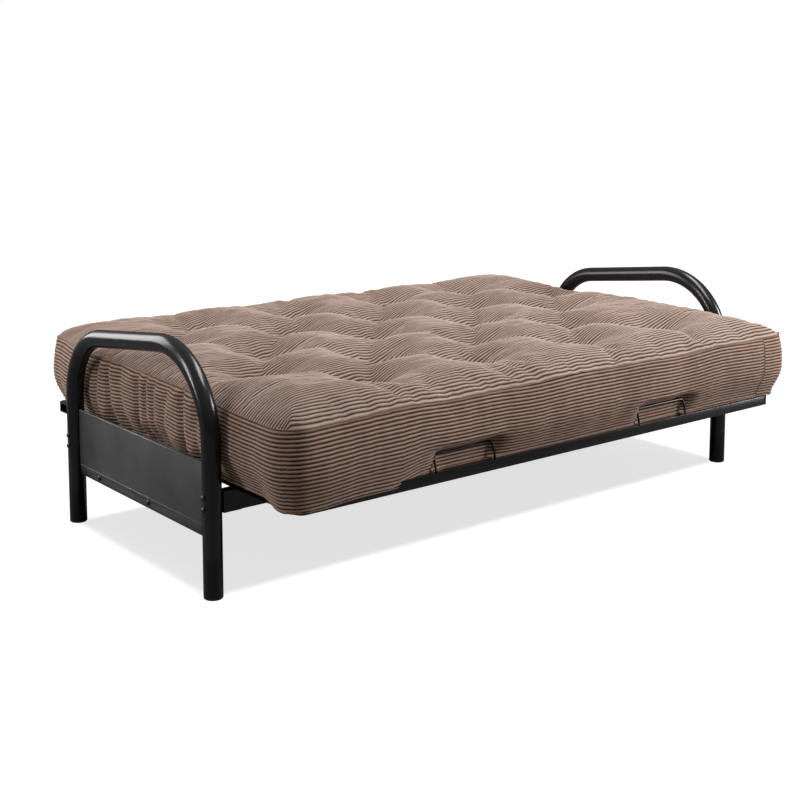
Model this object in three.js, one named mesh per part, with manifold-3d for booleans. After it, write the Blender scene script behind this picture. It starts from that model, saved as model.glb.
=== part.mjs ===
// Futon sofa bed in its flat (bed) position. Millimetres, +Z up, floor at z = 0.
// X runs along the length of the bed, the seat edge faces -Y and the fold line lies on y = 0.
import * as THREE from "three";
import { mergeVertices } from "three/addons/utils/BufferGeometryUtils.js";
import Module from "manifold-3d";

const wasm = await Module();
wasm.setup();

// Clearance left between neighbouring solids.
const GAP = 0.3;

// Arms: one bent tube each, with a front leg, a sloping arm rest and a back leg.
const ARM_X = 980;
const LEG_FRONT_Y = -400;
const LEG_BACK_Y = 362;
const TUBE_R = 25;
const TUBE_WALL = 1.8;
const ARM_TOP_FRONT_Z = 640.4;
const ARM_TOP_BACK_Z = 545.7;
const ARM_BEND_FRONT = 223;
const ARM_BEND_BACK = 194;
const TUBE_SIDES = 18;

// Plastic caps that plug the legs.
const CAP_H = 5;
const CAP_PLUG_H = 25;

// Sheet-steel end panels between the legs, with a rolled top edge and a sloping bottom hem.
const PANEL_TOP_Z = 337.5;
const PANEL_CREASE_Z = 176;
const PANEL_BOTTOM_Z = 145.5;
const PANEL_T = 1.5;
const PANEL_LIP = 7;
const PANEL_HEM_IN = 3;
const PANEL_BOLT_Y = [-69, 217];
const PANEL_BOLT_Z = 162;

// Stretchers between the legs, and the brackets that hold them.
const STRETCHER_W = 25;
const STRETCHER_BOTTOM_Z = 217;
const STRETCHER_TOP_Z = 259.7;
const STRETCHER_X = 935;
const STRETCHER_WALL = 1.6;
const BRACKET_TOP_Z = 272;
const BRACKET_INNER_X = 904;
const BRACKET_OUTER_X = ARM_X - TUBE_R - GAP;
const LEG_BOLT_Z = [229.6, 260];

// Bolts: shank, domed head and nut.
const BOLT_R = 4;
const BOLT_HOLE_R = 4.7;
const BOLT_HEAD_R = 7.5;
const BOLT_HEAD_H = 4.5;
const BOLT_NUT_R = 7.5;
const BOLT_NUT_H = 6;

// Folding mechanism: fixed plates, a swing frame on the low pivot, and decks on the upper pivots.
const LOW_PIVOT = [127.7, 170];
const DECK_PIVOT = [70, 270];
const FOLD_PIVOT = [0, 274];
const PLATE_X = [969.5, 973.5];
const LINK_X = [903, 908];
const LINK_HALF_W = 10;
const TORSION_R = 10;
const PIN_R = 5;
const PIN_HOLE_R = 5.35;

// Decks: two halves with channel rails and a welded wire grid.
const DECK_HALF_X = 900;
const DECK_WEB_X = 874;
const DECK_EDGE_Y = 664;
const DECK_GAP_Y = 13;
const RAIL_BOTTOM_Z = 260;
const RAIL_TOP_Z = 288;
const RAIL_T = 2;
const RAIL_FLANGE = 25;
const GRID_WIRE = 5;
const GRID_COLUMNS = 9;
const GRID_ROWS = 4;

// Wire loops on the seat's front rail that keep the mattress from sliding off.
const LOOP_X = [-371, 397];
const LOOP_HALF_W = 102;
const LOOP_R = 3;
const LOOP_TOP_Z = 333;
const LOOP_FOOT_Y = -659;
const LOOP_LEAN = 11;
const LOOP_BEND = 12;

// Mattress: full size, 8 in deep, cut to a wedge on each side of the fold line.
const MATTRESS_HALF_X = 952.5;
const MATTRESS_HALF_Y = 686;
const MATTRESS_BOTTOM_Z = 290;
const MATTRESS_TOP_Z = 525;
const FOLD_HALF_ANGLE = THREE.MathUtils.degToRad(38);
const MATTRESS_CORNER_R = 70;

// ---- materials ----

const steel = new THREE.MeshStandardMaterial({ name: "black_steel", color: 0x1b1c1e, metalness: 0.2, roughness: 0.35 });
const wire = new THREE.MeshStandardMaterial({ name: "black_wire", color: 0x202224, metalness: 0.2, roughness: 0.4 });
const boltBlack = new THREE.MeshStandardMaterial({ name: "black_bolt", color: 0x17181a, metalness: 0.6, roughness: 0.4 });
const plastic = new THREE.MeshStandardMaterial({ name: "black_plastic", color: 0x151515, roughness: 0.7 });
const fabric = new THREE.MeshStandardMaterial({ name: "brown_corduroy", color: 0x7d6258, roughness: 0.95 });

// ---- solid helpers ----

function toSolid(geometry) {
  const bare = geometry.index ? geometry.toNonIndexed() : geometry.clone();
  bare.deleteAttribute("normal");
  bare.deleteAttribute("uv");
  const merged = mergeVertices(bare, 1e-4);
  const mesh = new wasm.Mesh({
    numProp: 3,
    vertProperties: merged.attributes.position.array,
    triVerts: new Uint32Array(merged.index.array),
  });
  return new wasm.Manifold(mesh);
}

function toGeometry(solid) {
  const mesh = solid.getMesh();
  const geometry = new THREE.BufferGeometry();
  geometry.setAttribute("position", new THREE.BufferAttribute(Float32Array.from(mesh.vertProperties), 3));
  geometry.setIndex(new THREE.BufferAttribute(Uint32Array.from(mesh.triVerts), 1));
  geometry.computeVertexNormals();
  return geometry;
}

function union(...geometries) {
  return toGeometry(wasm.Manifold.union(geometries.map(toSolid)));
}

function cut(geometry, ...tools) {
  return toGeometry(wasm.Manifold.difference(toSolid(geometry), wasm.Manifold.union(tools.map(toSolid))));
}

function common(...geometries) {
  return toGeometry(wasm.Manifold.intersection(geometries.map(toSolid)));
}

function box(x, y, z) {
  const [x0, x1] = [Math.min(...x), Math.max(...x)];
  const [y0, y1] = [Math.min(...y), Math.max(...y)];
  const [z0, z1] = [Math.min(...z), Math.max(...z)];
  const geometry = new THREE.BoxGeometry(x1 - x0, y1 - y0, z1 - z0);
  return geometry.translate((x0 + x1) / 2, (y0 + y1) / 2, (z0 + z1) / 2);
}

function shapeOf(points) {
  return new THREE.Shape(points.map(([a, b]) => new THREE.Vector2(a, b)));
}

function extrudeShape(shape, length) {
  return new THREE.ExtrudeGeometry(shape, { depth: length, bevelEnabled: false, curveSegments: 8 });
}

// Prism along X from a profile of [y, z] points.
function prismX(points, x) {
  const [x0, x1] = [Math.min(...x), Math.max(...x)];
  const turn = new THREE.Matrix4().set(0, 0, 1, x0, 1, 0, 0, 0, 0, 1, 0, 0, 0, 0, 0, 1);
  return extrudeShape(shapeOf(points), x1 - x0).applyMatrix4(turn);
}

// Prism along Y from a profile of [x, z] points.
function prismY(points, y) {
  const [y0, y1] = [Math.min(...y), Math.max(...y)];
  const turn = new THREE.Matrix4().set(0, 1, 0, 0, 0, 0, 1, y0, 1, 0, 0, 0, 0, 0, 0, 1);
  return extrudeShape(shapeOf(points.map(([a, b]) => [b, a])), y1 - y0).applyMatrix4(turn);
}

// Solid of revolution about an X-parallel line through [y, z]; the profile is [radius, x] points.
function turnedX(profile, centre, sides) {
  const points = profile.map(([r, x]) => new THREE.Vector2(r, x));
  const geometry = new THREE.LatheGeometry(points, sides);
  const turn = new THREE.Matrix4().set(0, 1, 0, 0, 0, 0, 1, centre[0], 1, 0, 0, centre[1], 0, 0, 0, 1);
  return geometry.applyMatrix4(turn);
}

function cylinderX(radius, x, centre, sides) {
  const [x0, x1] = [Math.min(...x), Math.max(...x)];
  const profile = [
    [0, x0],
    [radius, x0],
    [radius, x1],
    [0, x1],
  ];
  return turnedX(profile, centre, sides);
}

// Flat path in a plane: straight runs joined by circular bends of the given radii.
function filletedPath(corners, radii, steps) {
  const path = [{ p: corners[0].clone(), t: corners[1].clone().sub(corners[0]).normalize() }];
  for (let i = 1; i < corners.length - 1; i += 1) {
    const into = corners[i].clone().sub(corners[i - 1]).normalize();
    const out = corners[i + 1].clone().sub(corners[i]).normalize();
    const turn = into.angleTo(out);
    const reach = radii[i - 1] * Math.tan(turn / 2);
    const start = corners[i].clone().addScaledVector(into, -reach);
    const axis = into.clone().cross(out).normalize();
    const inward = axis.clone().cross(into);
    const centre = start.clone().addScaledVector(inward, radii[i - 1]);
    for (let k = 0; k <= steps; k += 1) {
      const angle = (turn * k) / steps;
      const arm = start.clone().sub(centre).applyAxisAngle(axis, angle);
      path.push({ p: centre.clone().add(arm), t: into.clone().applyAxisAngle(axis, angle) });
    }
  }
  const last = corners.length - 1;
  path.push({ p: corners[last].clone(), t: corners[last].clone().sub(corners[last - 1]).normalize() });
  return path;
}

// Rings of vertices round a flat path; the binormal is the normal of the plane the path lies in.
function ringsAlong(path, binormal, radius, sides) {
  const rings = [];
  for (const { p, t } of path) {
    const normal = binormal.clone().cross(t).normalize();
    const ring = [];
    for (let k = 0; k < sides; k += 1) {
      const angle = (2 * Math.PI * k) / sides;
      const offset = normal.clone().multiplyScalar(Math.cos(angle) * radius);
      offset.addScaledVector(binormal, Math.sin(angle) * radius);
      ring.push(p.clone().add(offset));
    }
    rings.push(ring);
  }
  return rings;
}

function geometryFromFaces(faces) {
  const numbers = faces.flatMap((v) => [v.x, v.y, v.z]);
  const geometry = new THREE.BufferGeometry();
  geometry.setAttribute("position", new THREE.BufferAttribute(new Float32Array(numbers), 3));
  return geometry;
}

// Round bar or, with an inner radius, a tube open at both ends, swept along a flat path.
function sweep(path, binormal, outerR, innerR, sides) {
  const outer = ringsAlong(path, binormal, outerR, sides);
  const inner = innerR > 0 ? ringsAlong(path, binormal, innerR, sides) : null;
  const faces = [];
  const wall = (rings, flip) => {
    for (let i = 0; i + 1 < rings.length; i += 1) {
      for (let k = 0; k < sides; k += 1) {
        const n = (k + 1) % sides;
        const [a, b, c, d] = [rings[i][k], rings[i][n], rings[i + 1][n], rings[i + 1][k]];
        faces.push(...(flip ? [a, c, b, a, d, c] : [a, b, c, a, c, d]));
      }
    }
  };
  wall(outer, false);
  if (inner) wall(inner, true);
  for (const [index, flip] of [
    [0, true],
    [outer.length - 1, false],
  ]) {
    for (let k = 0; k < sides; k += 1) {
      const n = (k + 1) % sides;
      const [a, b] = [outer[index][k], outer[index][n]];
      const [c, d] = inner ? [inner[index][n], inner[index][k]] : [path[index].p, path[index].p];
      if (inner) {
        faces.push(...(flip ? [a, c, b, a, d, c] : [a, b, c, a, c, d]));
      } else {
        faces.push(...(flip ? [a, c, b] : [a, b, c]));
      }
    }
  }
  return geometryFromFaces(faces);
}

// ---- base: arms, panels, stretchers ----

function boltHoles(side, y) {
  return LEG_BOLT_Z.map((z) => cylinderX(BOLT_HOLE_R, [side * 940, side * 1015], [y, z], 10));
}

function arm(side) {
  const corners = [
    new THREE.Vector3(side * ARM_X, LEG_FRONT_Y, CAP_H + GAP),
    new THREE.Vector3(side * ARM_X, LEG_FRONT_Y, ARM_TOP_FRONT_Z),
    new THREE.Vector3(side * ARM_X, LEG_BACK_Y, ARM_TOP_BACK_Z),
    new THREE.Vector3(side * ARM_X, LEG_BACK_Y, CAP_H + GAP),
  ];
  const path = filletedPath(corners, [ARM_BEND_FRONT, ARM_BEND_BACK], 7);
  const tube = sweep(path, new THREE.Vector3(1, 0, 0), TUBE_R, TUBE_R - TUBE_WALL, TUBE_SIDES);
  return cut(tube, ...boltHoles(side, LEG_FRONT_Y), ...boltHoles(side, LEG_BACK_Y));
}

function footCap(side, y) {
  const plugR = (TUBE_R - TUBE_WALL) * Math.cos(Math.PI / TUBE_SIDES) - GAP;
  const profile = [
    [0, 0],
    [TUBE_R - 2, 0],
    [TUBE_R, 2],
    [TUBE_R, CAP_H],
    [plugR, CAP_H],
    [plugR, CAP_PLUG_H],
    [0, CAP_PLUG_H],
  ];
  const points = profile.map(([r, z]) => new THREE.Vector2(r, z));
  const cap = new THREE.LatheGeometry(points, TUBE_SIDES);
  const upright = new THREE.Matrix4().set(1, 0, 0, side * ARM_X, 0, 0, 1, y, 0, 1, 0, 0, 0, 0, 0, 1);
  const geometry = cap.applyMatrix4(upright);
  return flipped(geometry);
}

// Reverses every face of a geometry.
function flipped(geometry) {
  const bare = geometry.index ? geometry.toNonIndexed() : geometry;
  const p = bare.attributes.position.array;
  for (let i = 0; i < p.length; i += 9) {
    for (let k = 0; k < 3; k += 1) {
      const held = p[i + 3 + k];
      p[i + 3 + k] = p[i + 6 + k];
      p[i + 6 + k] = held;
    }
  }
  return bare;
}

function endPanel(side) {
  const out = ARM_X + 1;
  const profile = [
    [out, PANEL_TOP_Z],
    [out, PANEL_CREASE_Z],
    [out - PANEL_HEM_IN, PANEL_BOTTOM_Z],
    [out - PANEL_HEM_IN - PANEL_T, PANEL_BOTTOM_Z],
    [out - PANEL_T, PANEL_CREASE_Z],
    [out - PANEL_T, PANEL_TOP_Z - PANEL_T],
    [out - PANEL_LIP, PANEL_TOP_Z - PANEL_T],
    [out - PANEL_LIP, PANEL_TOP_Z],
  ];
  const mirrored = profile.map(([x, z]) => [side * x, z]);
  const sheet = prismY(mirrored, [LEG_FRONT_Y + TUBE_R + GAP, LEG_BACK_Y - TUBE_R - GAP]);
  const holes = PANEL_BOLT_Y.map((y) =>
    cylinderX(BOLT_HOLE_R, [side * 970, side * 985], [y, PANEL_BOLT_Z], 10),
  );
  return cut(sheet, ...holes);
}

function stretcher(y) {
  const half = STRETCHER_W / 2;
  const wall = STRETCHER_WALL;
  const outer = box([-STRETCHER_X, STRETCHER_X], [y - half, y + half], [STRETCHER_BOTTOM_Z, STRETCHER_TOP_Z]);
  const inner = box(
    [-STRETCHER_X - 1, STRETCHER_X + 1],
    [y - half + wall, y + half - wall],
    [STRETCHER_BOTTOM_Z + wall, STRETCHER_TOP_Z - wall],
  );
  return cut(outer, inner);
}

function stretcherBracket(side, y) {
  const inside = STRETCHER_W / 2 + GAP;
  const outside = inside + 2;
  const z = [STRETCHER_BOTTOM_Z, BRACKET_TOP_Z];
  const block = box([side * BRACKET_INNER_X, side * BRACKET_OUTER_X], [y - outside, y + outside], z);
  const pocketZ = [STRETCHER_BOTTOM_Z - 1, BRACKET_TOP_Z + 1];
  const pocket = box([side * (BRACKET_INNER_X - 1), side * (BRACKET_OUTER_X - 4)], [y - inside, y + inside], pocketZ);
  return cut(block, pocket, ...boltHoles(side, y));
}

// Bolt along X: domed head whose flat is at headX, nut that starts at nutX, both on the given side.
function bolt(side, headX, nutX, centre) {
  const profile = [
    [0, nutX - BOLT_NUT_H],
    [BOLT_NUT_R, nutX - BOLT_NUT_H],
    [BOLT_NUT_R, nutX],
    [BOLT_R, nutX],
    [BOLT_R, headX],
    [BOLT_HEAD_R, headX],
    [BOLT_HEAD_R * 0.8, headX + BOLT_HEAD_H * 0.7],
    [0, headX + BOLT_HEAD_H],
  ];
  const geometry = turnedX(profile, centre, 10);
  if (side > 0) return geometry;
  return geometry.translate(0, -centre[0], 0).rotateZ(Math.PI).translate(0, centre[0], 0);
}

function legBolt(side, y, z) {
  return bolt(side, ARM_X + TUBE_R + GAP, BRACKET_OUTER_X - 4 - GAP, [y, z]);
}

function panelBolt(side, y) {
  return bolt(side, ARM_X + 1 + GAP, PLATE_X[0] - GAP, [y, PANEL_BOLT_Z]);
}

// ---- folding mechanism ----

function mechanismPlate(side) {
  const outline = [
    [-90, 148],
    [238, 148],
    [238, 178],
    [165, 198],
    [90, 198],
    [-90, 178],
  ];
  const x = [side * PLATE_X[0], side * PLATE_X[1]];
  const bosses = PANEL_BOLT_Y.map((y) =>
    cylinderX(9, [side * PLATE_X[0], side * (PLATE_X[1] + 3.2)], [y, PANEL_BOLT_Z], 12),
  );
  const holes = PANEL_BOLT_Y.map((y) =>
    cylinderX(BOLT_HOLE_R, [side * 960, side * 985], [y, PANEL_BOLT_Z], 10),
  );
  const bearing = cylinderX(TORSION_R + 0.6, [side * 960, side * 985], LOW_PIVOT, 16);
  return cut(union(prismX(outline, x), ...bosses), ...holes, bearing);
}

function torsionBar() {
  return cylinderX(TORSION_R, [-PLATE_X[1] + 0.5, PLATE_X[1] - 0.5], LOW_PIVOT, 16);
}

// Flat bar with round ends in a YZ plane.
function linkShape(from, to, halfWidth, x) {
  const run = new THREE.Vector2(to[0] - from[0], to[1] - from[1]);
  const heading = Math.atan2(run.y, run.x);
  const points = [];
  for (let k = 0; k <= 5; k += 1) {
    const angle = heading - Math.PI / 2 + (Math.PI * k) / 5;
    points.push([to[0] + halfWidth * Math.cos(angle), to[1] + halfWidth * Math.sin(angle)]);
  }
  for (let k = 0; k <= 5; k += 1) {
    const angle = heading + Math.PI / 2 + (Math.PI * k) / 5;
    points.push([from[0] + halfWidth * Math.cos(angle), from[1] + halfWidth * Math.sin(angle)]);
  }
  return prismX(points, x);
}

function swingLink(side) {
  const x = [side * LINK_X[0], side * LINK_X[1]];
  const wide = [side * 890, side * 920];
  const bar = union(linkShape(LOW_PIVOT, DECK_PIVOT, LINK_HALF_W, x), cylinderX(16, x, LOW_PIVOT, 16));
  const pinHole = cylinderX(PIN_HOLE_R, wide, DECK_PIVOT, 14);
  return cut(bar, cylinderX(TORSION_R + GAP, wide, LOW_PIVOT, 16), pinHole);
}

// Headed pin through a deck side rail and its swing link.
function deckPin(side) {
  const profile = [
    [0, DECK_WEB_X - 8],
    [8, DECK_WEB_X - 8],
    [8, DECK_WEB_X - RAIL_T - GAP],
    [PIN_R, DECK_WEB_X - RAIL_T - GAP],
    [PIN_R, LINK_X[1] + GAP],
    [8, LINK_X[1] + GAP],
    [8, LINK_X[1] + 3],
    [0, LINK_X[1] + 3],
  ];
  const geometry = turnedX(profile, DECK_PIVOT, 14);
  if (side > 0) return geometry;
  return geometry.translate(0, -DECK_PIVOT[0], 0).rotateZ(Math.PI).translate(0, DECK_PIVOT[0], 0);
}

// ---- decks; half is -1 for the seat and +1 for the back ----

function sideRail(side, half) {
  const profile = [
    [DECK_WEB_X - RAIL_T, RAIL_BOTTOM_Z],
    [DECK_HALF_X, RAIL_BOTTOM_Z],
    [DECK_HALF_X, RAIL_BOTTOM_Z + RAIL_T],
    [DECK_WEB_X, RAIL_BOTTOM_Z + RAIL_T],
    [DECK_WEB_X, RAIL_TOP_Z - RAIL_T],
    [DECK_HALF_X, RAIL_TOP_Z - RAIL_T],
    [DECK_HALF_X, RAIL_TOP_Z],
    [DECK_WEB_X - RAIL_T, RAIL_TOP_Z],
  ];
  const mirrored = profile.map(([x, z]) => [side * x, z]);
  const rail = prismY(mirrored, [half * DECK_GAP_Y, half * DECK_EDGE_Y]);
  const wide = [side * 860, side * 880];
  const plateHole = cylinderX(BOLT_HOLE_R, wide, [half * 38, FOLD_PIVOT[1]], 10);
  if (half < 0) return cut(rail, plateHole);
  return cut(rail, plateHole, cylinderX(PIN_HOLE_R, wide, DECK_PIVOT, 14));
}

// Channel between the side rails; the web is at webY and the flanges run towards the deck's middle.
function crossRail(webY, inward) {
  const profile = [
    [webY, RAIL_BOTTOM_Z],
    [webY + inward * RAIL_FLANGE, RAIL_BOTTOM_Z],
    [webY + inward * RAIL_FLANGE, RAIL_BOTTOM_Z + RAIL_T],
    [webY + inward * RAIL_T, RAIL_BOTTOM_Z + RAIL_T],
    [webY + inward * RAIL_T, RAIL_TOP_Z - RAIL_T],
    [webY + inward * RAIL_FLANGE, RAIL_TOP_Z - RAIL_T],
    [webY + inward * RAIL_FLANGE, RAIL_TOP_Z],
    [webY, RAIL_TOP_Z],
  ];
  const reach = DECK_WEB_X - RAIL_T - GAP;
  return prismX(profile, [-reach, reach]);
}

// Welded wire grid under the top flanges.
function wireGrid(half) {
  const halfX = DECK_WEB_X - RAIL_T - GAP;
  const nearY = DECK_GAP_Y + RAIL_T + 1;
  const farY = DECK_EDGE_Y - RAIL_T - 1;
  const top = RAIL_TOP_Z - RAIL_T - GAP;
  const bottom = top - GRID_WIRE + 1;
  const cellX = (2 * halfX - GRID_WIRE) / GRID_COLUMNS;
  const cellY = (farY - nearY - GRID_WIRE) / GRID_ROWS;
  const cells = [];
  for (let i = 0; i < GRID_COLUMNS; i += 1) {
    for (let j = 0; j < GRID_ROWS; j += 1) {
      const x = -halfX + GRID_WIRE + i * cellX;
      const y = nearY + GRID_WIRE + j * cellY;
      cells.push(box([x, x + cellX - GRID_WIRE], [half * y, half * (y + cellY - GRID_WIRE)], [bottom - 5, top + 5]));
    }
  }
  return cut(box([-halfX, halfX], [half * nearY, half * farY], [bottom, top]), ...cells);
}

// Hinge leaf inside a side rail, from its bolt to the fold line.
function hingeLeaf(side, half) {
  const inner = half < 0 ? DECK_WEB_X + 3 : DECK_WEB_X + 7;
  const x = [side * inner, side * (inner + 3)];
  const bar = linkShape([half * 50, FOLD_PIVOT[1] - 2], FOLD_PIVOT, 9, x);
  const boss = cylinderX(9, [side * (DECK_WEB_X + GAP), side * (inner + 3)], [half * 38, FOLD_PIVOT[1] - 2], 12);
  const wide = [side * 860, side * 899];
  const holes = [
    cylinderX(BOLT_HOLE_R, wide, [half * 38, FOLD_PIVOT[1]], 10),
    cylinderX(PIN_HOLE_R, wide, FOLD_PIVOT, 14),
  ];
  return cut(union(bar, boss), ...holes);
}

// Rivet that holds a hinge leaf to its side rail.
function leafRivet(side, half) {
  const outer = half < 0 ? DECK_WEB_X + 6 : DECK_WEB_X + 10;
  const profile = [
    [0, DECK_WEB_X - RAIL_T - 3],
    [7, DECK_WEB_X - RAIL_T - 3],
    [7, DECK_WEB_X - RAIL_T - GAP],
    [BOLT_R, DECK_WEB_X - RAIL_T - GAP],
    [BOLT_R, outer + GAP],
    [7, outer + GAP],
    [7, outer + 3],
    [0, outer + 3],
  ];
  const centre = [half * 38, FOLD_PIVOT[1]];
  const geometry = turnedX(profile, centre, 10);
  if (side > 0) return geometry;
  return geometry.translate(0, -centre[0], 0).rotateZ(Math.PI).translate(0, centre[0], 0);
}

// Headed pin on the fold line through both hinge leaves.
function foldPin(side) {
  const profile = [
    [0, DECK_WEB_X - 1],
    [8, DECK_WEB_X - 1],
    [8, DECK_WEB_X + 3 - GAP],
    [PIN_R, DECK_WEB_X + 3 - GAP],
    [PIN_R, DECK_WEB_X + 10 + GAP],
    [8, DECK_WEB_X + 10 + GAP],
    [8, DECK_WEB_X + 13],
    [0, DECK_WEB_X + 13],
  ];
  const geometry = turnedX(profile, FOLD_PIVOT, 14);
  if (side > 0) return geometry;
  return geometry.rotateZ(Math.PI);
}

function retainerLoop(x) {
  const foot = new THREE.Vector3(x - LOOP_HALF_W, LOOP_FOOT_Y, RAIL_TOP_Z + GAP);
  const top = foot.clone().add(new THREE.Vector3(0, LOOP_LEAN, LOOP_TOP_Z - RAIL_TOP_Z));
  const across = new THREE.Vector3(2 * LOOP_HALF_W, 0, 0);
  const corners = [foot, top, top.clone().add(across), foot.clone().add(across)];
  const up = top.clone().sub(foot).normalize();
  const path = filletedPath(corners, [LOOP_BEND, LOOP_BEND], 4);
  const binormal = up.clone().cross(new THREE.Vector3(1, 0, 0)).normalize();
  const bar = sweep(path, binormal, LOOP_R, 0, 8);
  const keep = box([x - 130, x + 130], [-700, -600], [RAIL_TOP_Z + GAP, 360]);
  return common(bar, keep);
}

// ---- mattress ----

function mattressBlock() {
  const side = [
    [-626, MATTRESS_BOTTOM_Z],
    [-641, 304],
    [-641, 342],
    [-670, 374],
    [-684, 415],
    [-MATTRESS_HALF_Y, 455],
    [-680, 492],
    [-655, 511],
    [-560, MATTRESS_TOP_Z],
    [560, MATTRESS_TOP_Z],
    [655, 511],
    [680, 492],
    [MATTRESS_HALF_Y, 455],
    [684, 415],
    [672, 372],
    [655, 320],
    [640, MATTRESS_BOTTOM_Z],
  ];
  const front = [
    [905, MATTRESS_BOTTOM_Z],
    [928, 310],
    [946, 360],
    [MATTRESS_HALF_X, 430],
    [948, 485],
    [925, 511],
    [850, MATTRESS_TOP_Z],
  ];
  const mirrored = front.map(([x, z]) => [-x, z]).reverse();
  const depth = MATTRESS_HALF_Y + 5;
  const outline = roundedOutline(MATTRESS_HALF_X, MATTRESS_HALF_Y, MATTRESS_CORNER_R);
  const plan = extrudeShape(outline, MATTRESS_TOP_Z - MATTRESS_BOTTOM_Z + 20).translate(0, 0, MATTRESS_BOTTOM_Z - 10);
  const along = prismX(side, [-MATTRESS_HALF_X - 5, MATTRESS_HALF_X + 5]);
  return common(along, prismY([...front, ...mirrored], [-depth, depth]), plan);
}

function roundedOutline(halfX, halfY, radius) {
  const shape = new THREE.Shape();
  shape.moveTo(-halfX + radius, -halfY);
  shape.lineTo(halfX - radius, -halfY);
  shape.absarc(halfX - radius, -halfY + radius, radius, -Math.PI / 2, 0);
  shape.lineTo(halfX, halfY - radius);
  shape.absarc(halfX - radius, halfY - radius, radius, 0, Math.PI / 2);
  shape.lineTo(-halfX + radius, halfY);
  shape.absarc(-halfX + radius, halfY - radius, radius, Math.PI / 2, Math.PI);
  shape.lineTo(-halfX, -halfY + radius);
  shape.absarc(-halfX + radius, -halfY + radius, radius, Math.PI, 1.5 * Math.PI);
  return shape;
}

// Half-width of the fold wedge at a height, before the clearance is taken off.
function foldHalfWidth(z) {
  return (z - FOLD_PIVOT[1]) * Math.tan(FOLD_HALF_ANGLE);
}

function mattressHalf(half) {
  const [z0, z1] = [MATTRESS_BOTTOM_Z - 1, MATTRESS_TOP_Z + 1];
  const far = MATTRESS_HALF_Y + 10;
  const region = [
    [half * foldHalfWidth(z0), z0],
    [half * far, z0],
    [half * far, z1],
    [half * foldHalfWidth(z1), z1],
  ];
  return common(mattressBlock(), prismX(region, [-MATTRESS_HALF_X - 10, MATTRESS_HALF_X + 10]));
}

function mattressFold() {
  const [z0, z1] = [MATTRESS_BOTTOM_Z - 1, MATTRESS_TOP_Z + 1];
  const w0 = foldHalfWidth(z0) - 2 * GAP;
  const w1 = foldHalfWidth(z1) - 2 * GAP;
  const region = [
    [-w0, z0],
    [w0, z0],
    [w1, z1],
    [-w1, z1],
  ];
  return common(mattressBlock(), prismX(region, [-MATTRESS_HALF_X - 10, MATTRESS_HALF_X + 10]));
}

// ---- assembly ----

const futon = new THREE.Group();
futon.name = "futon_sofa_bed";

function add(name, geometry, material) {
  const mesh = new THREE.Mesh(geometry, material);
  mesh.name = name;
  futon.add(mesh);
}

const SIDES = { left: -1, right: 1 };
const LEGS = { front: LEG_FRONT_Y, back: LEG_BACK_Y };

for (const [end, y] of Object.entries(LEGS)) add(`stretcher_${end}`, stretcher(y), steel);
add("torsion_bar", torsionBar(), steel);

for (const [name, side] of Object.entries(SIDES)) {
  add(`arm_${name}`, arm(side), steel);
  add(`end_panel_${name}`, endPanel(side), steel);
  for (const [end, y] of Object.entries(LEGS)) {
    add(`foot_cap_${end}_${name}`, footCap(side, y), plastic);
    add(`stretcher_bracket_${end}_${name}`, stretcherBracket(side, y), steel);
    add(`leg_bolt_${end}_${name}_lower`, legBolt(side, y, LEG_BOLT_Z[0]), boltBlack);
    add(`leg_bolt_${end}_${name}_upper`, legBolt(side, y, LEG_BOLT_Z[1]), boltBlack);
  }
  add(`panel_bolt_front_${name}`, panelBolt(side, PANEL_BOLT_Y[0]), boltBlack);
  add(`panel_bolt_back_${name}`, panelBolt(side, PANEL_BOLT_Y[1]), boltBlack);
  add(`mechanism_plate_${name}`, mechanismPlate(side), steel);
  add(`swing_link_${name}`, swingLink(side), steel);
  add(`deck_pin_${name}`, deckPin(side), boltBlack);
  add(`fold_pin_${name}`, foldPin(side), boltBlack);
  add(`seat_side_rail_${name}`, sideRail(side, -1), steel);
  add(`back_side_rail_${name}`, sideRail(side, 1), steel);
  add(`seat_hinge_leaf_${name}`, hingeLeaf(side, -1), steel);
  add(`back_hinge_leaf_${name}`, hingeLeaf(side, 1), steel);
  add(`seat_leaf_rivet_${name}`, leafRivet(side, -1), boltBlack);
  add(`back_leaf_rivet_${name}`, leafRivet(side, 1), boltBlack);
}

add("seat_front_rail", crossRail(-DECK_EDGE_Y, 1), steel);
add("seat_fold_rail", crossRail(-DECK_GAP_Y, -1), steel);
add("back_fold_rail", crossRail(DECK_GAP_Y, 1), steel);
add("back_top_rail", crossRail(DECK_EDGE_Y, -1), steel);
add("seat_wire_grid", wireGrid(-1), wire);
add("back_wire_grid", wireGrid(1), wire);
add("retainer_loop_left", retainerLoop(LOOP_X[0]), wire);
add("retainer_loop_right", retainerLoop(LOOP_X[1]), wire);
add("mattress_seat", mattressHalf(-1), fabric);
add("mattress_back", mattressHalf(1), fabric);
add("mattress_fold", mattressFold(), fabric);

export default futon;
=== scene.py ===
"""Looks of the futon sofa bed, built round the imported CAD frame. Metres, +Z up, the seat edge faces -Y."""
import math

import bmesh
import bpy
import numpy as np
from mathutils import Matrix, Vector, noise


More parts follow.
